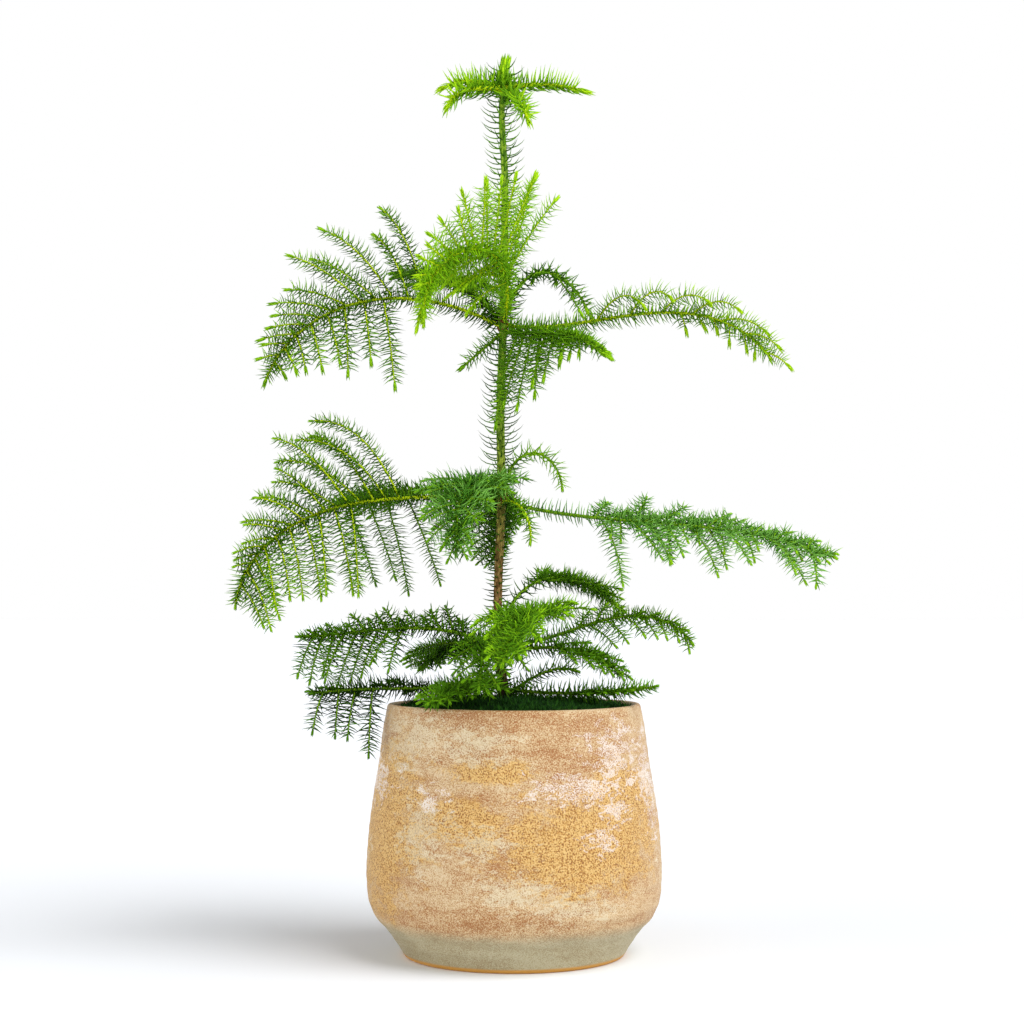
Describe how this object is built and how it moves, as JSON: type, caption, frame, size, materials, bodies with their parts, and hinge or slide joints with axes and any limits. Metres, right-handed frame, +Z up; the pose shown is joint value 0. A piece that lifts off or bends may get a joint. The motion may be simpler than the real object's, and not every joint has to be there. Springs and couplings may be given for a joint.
{
  "type": "potted norfolk island pine",
  "caption": "Young potted conifer with whorls of drooping feathery boughs round one slim trunk, in a round bellied glazed pot.",
  "frame": {"origin": "middle of the pot's flat underside", "axes": "+Z up along the trunk, +X to the right and +Y away from the viewer in the picture's view"},
  "size_m": [0.4128, 0.3152, 0.6179],
  "materials": {
    "glazed_clay": "speckled sand-coloured glaze, half matt",
    "soil": "damp dark potting soil",
    "moss": "dense deep green moss",
    "bark": "rough brown bark that turns green towards the top",
    "twig_bark": "smooth yellow-green bark of young boughs",
    "foliage": "soft green needles, lime at the shoot tips"
  },
  "bodies": {
    "root": {"bough_2_back_left": "twig_bark", "bough_2_back_right": "twig_bark", "bough_2_front": "twig_bark", "bough_2_front_right": "twig_bark", "bough_2_left": "twig_bark", "bough_2_right": "twig_bark", "bough_3_back": "twig_bark", "bough_3_back_left": "twig_bark", "bough_3_front_left": "twig_bark", "bough_3_left": "twig_bark", "bough_3_right": "twig_bark", "bough_4_back_left": "twig_bark", "bough_4_back_right": "twig_bark", "bough_4_front": "twig_bark", "bough_4_front_left": "twig_bark", "bough_4_front_right": "twig_bark", "bough_4_left": "twig_bark", "bough_4_right": "twig_bark", "bough_5_front_left": "twig_bark", "bough_5_left": "twig_bark", "bough_5_right": "twig_bark", "foliage_1_back": "foliage", "foliage_1_front_left": "foliage", "foliage_1_front_right": "foliage", "foliage_1_left": "foliage", "foliage_1_right": "foliage", "foliage_2_back_left": "foliage", "foliage_2_back_right": "foliage", "foliage_2_front": "foliage", "foliage_2_front_left": "foliage", "foliage_2_front_right": "foliage", "foliage_2_left": "foliage", "foliage_2_right": "foliage", "foliage_3_back": "foliage", "foliage_3_back_left": "foliage", "foliage_3_back_right": "foliage", "foliage_3_front_left": "foliage", "foliage_3_front_right": "foliage", "foliage_3_left": "foliage", "foliage_3_right": "foliage", "foliage_4_back_left": "foliage", "foliage_4_back_right": "foliage", "foliage_4_front": "foliage", "foliage_4_front_left": "foliage", "foliage_4_front_right": "foliage", "foliage_4_left": "foliage", "foliage_4_right": "foliage", "foliage_5_back_right": "foliage", "foliage_5_front_left": "foliage", "foliage_5_left": "foliage", "foliage_5_right": "foliage", "moss": "moss", "pot": "glazed_clay", "soil": "soil", "trunk": "bark"}
  },
  "joints": []
}
